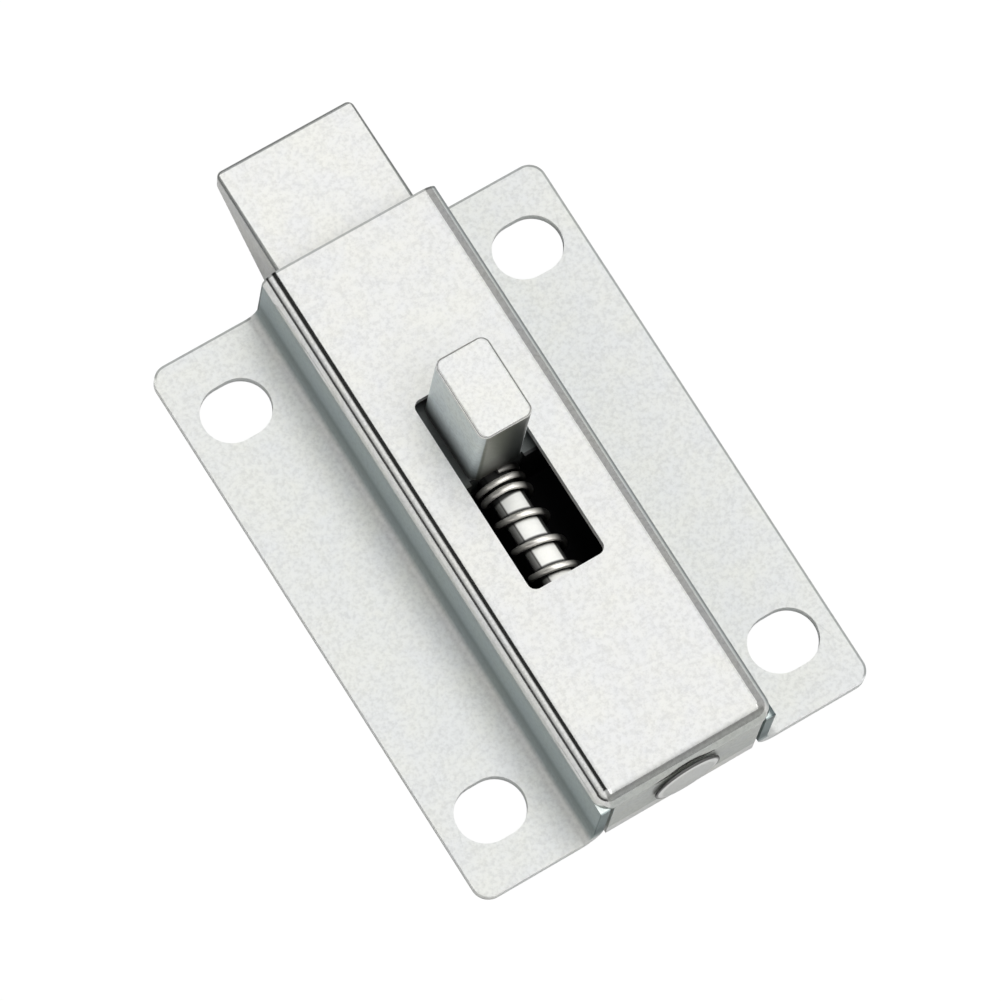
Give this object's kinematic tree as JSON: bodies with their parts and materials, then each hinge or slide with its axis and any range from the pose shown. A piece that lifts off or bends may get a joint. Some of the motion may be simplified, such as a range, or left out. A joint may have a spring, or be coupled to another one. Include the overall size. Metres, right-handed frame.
{
  "type": "spring loaded gate latch",
  "caption": "Surface-mounted sliding latch: a pressed channel housing on slotted screw flanges, a spring-driven bevelled bolt and an upright thumb knob in an open slot.",
  "frame": {"origin": "centre of the four screw holes, on the mounting plane under the flanges", "axes": "+Y the way the bolt shoots, +Z away from the mounting plane towards the knob, +X across the plate"},
  "size_m": [0.0506, 0.0847, 0.0247],
  "materials": {
    "plated_sheet": "satin zinc plated pressed sheet",
    "plated_casting": "satin zinc plated casting",
    "plated_pin": "satin zinc plated turned pin",
    "spring_wire": "bright drawn spring wire"
  },
  "bodies": {
    "housing_body": {"housing": "plated_sheet", "guide_rod": "plated_pin", "spring": "spring_wire"},
    "bolt_body": {"bolt": "plated_casting"}
  },
  "joints": [
    {"name": "bolt_slide", "type": "slide", "parent": "housing_body", "child": "bolt_body", "axis": [0, -1, 0], "range_m": [0, 0.0143], "stiffness_N_per_m": 1800, "springref_m": -0.004, "deforming": ["spring"]}
  ]
}
